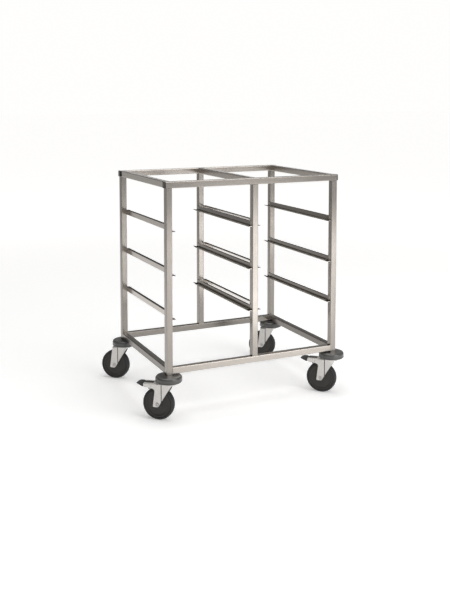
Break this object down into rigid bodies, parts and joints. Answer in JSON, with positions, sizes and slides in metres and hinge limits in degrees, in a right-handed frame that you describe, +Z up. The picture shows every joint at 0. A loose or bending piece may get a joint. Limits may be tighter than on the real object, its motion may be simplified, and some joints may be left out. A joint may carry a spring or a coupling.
{
  "type": "shelf trolley",
  "caption": "Two-bay catering trolley: square-tube steel frame with folded tray runners, bumper discs and swivel castors, the front ones with foot brakes.",
  "frame": {"origin": "on the floor, under the middle of the frame", "axes": "+X to the right seen from the front, +Y to the rear, +Z up"},
  "size_m": [0.881, 0.6601, 0.915],
  "materials": {
    "frame_steel": "ground stainless steel, satin",
    "runner_steel": "folded stainless steel sheet, satin",
    "end_cap_plastic": "moulded plastic, matt",
    "bumper_rubber": "moulded rubber, satin",
    "castor_steel": "pressed sheet, bright",
    "fastener_steel": "plain bright steel",
    "plug_plastic": "moulded plastic, matt",
    "tyre_rubber": "moulded rubber, matt",
    "wheel_plastic": "moulded plastic, satin",
    "pedal_plastic": "moulded plastic, satin"
  },
  "bodies": {
    "frame": {"post_front_left": "frame_steel", "post_front_middle": "frame_steel", "post_front_right": "frame_steel", "post_rear_left": "frame_steel", "post_rear_middle": "frame_steel", "post_rear_right": "frame_steel", "top_rail_front": "frame_steel", "top_rail_rear": "frame_steel", "top_rail_left": "frame_steel", "top_rail_middle": "frame_steel", "top_rail_right": "frame_steel", "bottom_rail_front": "frame_steel", "bottom_rail_rear": "frame_steel", "bottom_rail_left": "frame_steel", "bottom_rail_right": "frame_steel", "runner_left_bay_outer_bottom": "runner_steel", "runner_left_bay_inner_bottom": "runner_steel", "runner_right_bay_inner_bottom": "runner_steel", "runner_right_bay_outer_bottom": "runner_steel", "runner_left_bay_outer_middle": "runner_steel", "runner_left_bay_inner_middle": "runner_steel", "runner_right_bay_inner_middle": "runner_steel", "runner_right_bay_outer_middle": "runner_steel", "runner_left_bay_outer_top": "runner_steel", "runner_left_bay_inner_top": "runner_steel", "runner_right_bay_inner_top": "runner_steel", "runner_right_bay_outer_top": "runner_steel", "end_caps": "end_cap_plastic", "bumper_front_left": "bumper_rubber", "bumper_front_right": "bumper_rubber", "bumper_rear_left": "bumper_rubber", "bumper_rear_right": "bumper_rubber", "swivel_cups": "castor_steel", "swivel_balls": "fastener_steel", "king_bolt_sets": "fastener_steel", "stem_plugs": "plug_plastic"},
    "castor_front_left": {"fork_front_left": "castor_steel", "castor_fasteners_front_left": "fastener_steel"},
    "wheel_front_left": {"tyre_front_left": "tyre_rubber", "wheel_core_front_left": "wheel_plastic", "wheel_bearing_front_left": "fastener_steel"},
    "pedal_front_left": {"brake_pedal_front_left": "pedal_plastic", "brake_shoe_front_left": "pedal_plastic"},
    "castor_front_right": {"fork_front_right": "castor_steel", "castor_fasteners_front_right": "fastener_steel"},
    "wheel_front_right": {"tyre_front_right": "tyre_rubber", "wheel_core_front_right": "wheel_plastic", "wheel_bearing_front_right": "fastener_steel"},
    "pedal_front_right": {"brake_pedal_front_right": "pedal_plastic", "brake_shoe_front_right": "pedal_plastic"},
    "castor_rear_left": {"fork_rear_left": "castor_steel", "castor_fasteners_rear_left": "fastener_steel"},
    "wheel_rear_left": {"tyre_rear_left": "tyre_rubber", "wheel_core_rear_left": "wheel_plastic", "wheel_bearing_rear_left": "fastener_steel"},
    "castor_rear_right": {"fork_rear_right": "castor_steel", "castor_fasteners_rear_right": "fastener_steel"},
    "wheel_rear_right": {"tyre_rear_right": "tyre_rubber", "wheel_core_rear_right": "wheel_plastic", "wheel_bearing_rear_right": "fastener_steel"}
  },
  "joints": [
    {"name": "swivel_front_left", "type": "hinge", "parent": "frame", "child": "castor_front_left", "pos_m": [-0.3625, -0.2675, 0.143], "axis": [0, 0, 1], "continuous": true},
    {"name": "wheel_spin_front_left", "type": "hinge", "parent": "castor_front_left", "child": "wheel_front_left", "pos_m": [-0.3926, -0.2404, 0.0625], "axis": [0.6691, 0.7431, 0], "continuous": true},
    {"name": "pedal_front_left", "type": "hinge", "parent": "castor_front_left", "child": "pedal_front_left", "pos_m": [-0.41155, -0.22334, 0.132], "axis": [-0.6691, -0.7431, 0], "range_deg": [0, 8]},
    {"name": "swivel_front_right", "type": "hinge", "parent": "frame", "child": "castor_front_right", "pos_m": [0.3625, -0.2675, 0.143], "axis": [0, 0, 1], "continuous": true},
    {"name": "wheel_spin_front_right", "type": "hinge", "parent": "castor_front_right", "child": "wheel_front_right", "pos_m": [0.33386, -0.23886, 0.0625], "axis": [0.7071, 0.7071, 0], "continuous": true},
    {"name": "pedal_front_right", "type": "hinge", "parent": "castor_front_right", "child": "pedal_front_right", "pos_m": [0.31583, -0.22083, 0.132], "axis": [-0.7071, -0.7071, 0], "range_deg": [0, 8]},
    {"name": "swivel_rear_left", "type": "hinge", "parent": "frame", "child": "castor_rear_left", "pos_m": [-0.3625, 0.2675, 0.143], "axis": [0, 0, 1], "continuous": true},
    {"name": "wheel_spin_rear_left", "type": "hinge", "parent": "castor_rear_left", "child": "wheel_rear_left", "pos_m": [-0.39353, 0.29353, 0.0625], "axis": [0.6428, 0.766, 0], "continuous": true},
    {"name": "swivel_rear_right", "type": "hinge", "parent": "frame", "child": "castor_rear_right", "pos_m": [0.3625, 0.2675, 0.143], "axis": [0, 0, 1], "continuous": true},
    {"name": "wheel_spin_rear_right", "type": "hinge", "parent": "castor_rear_right", "child": "wheel_rear_right", "pos_m": [0.32892, 0.29015, 0.0625], "axis": [0.5592, 0.829, 0], "continuous": true}
  ]
}
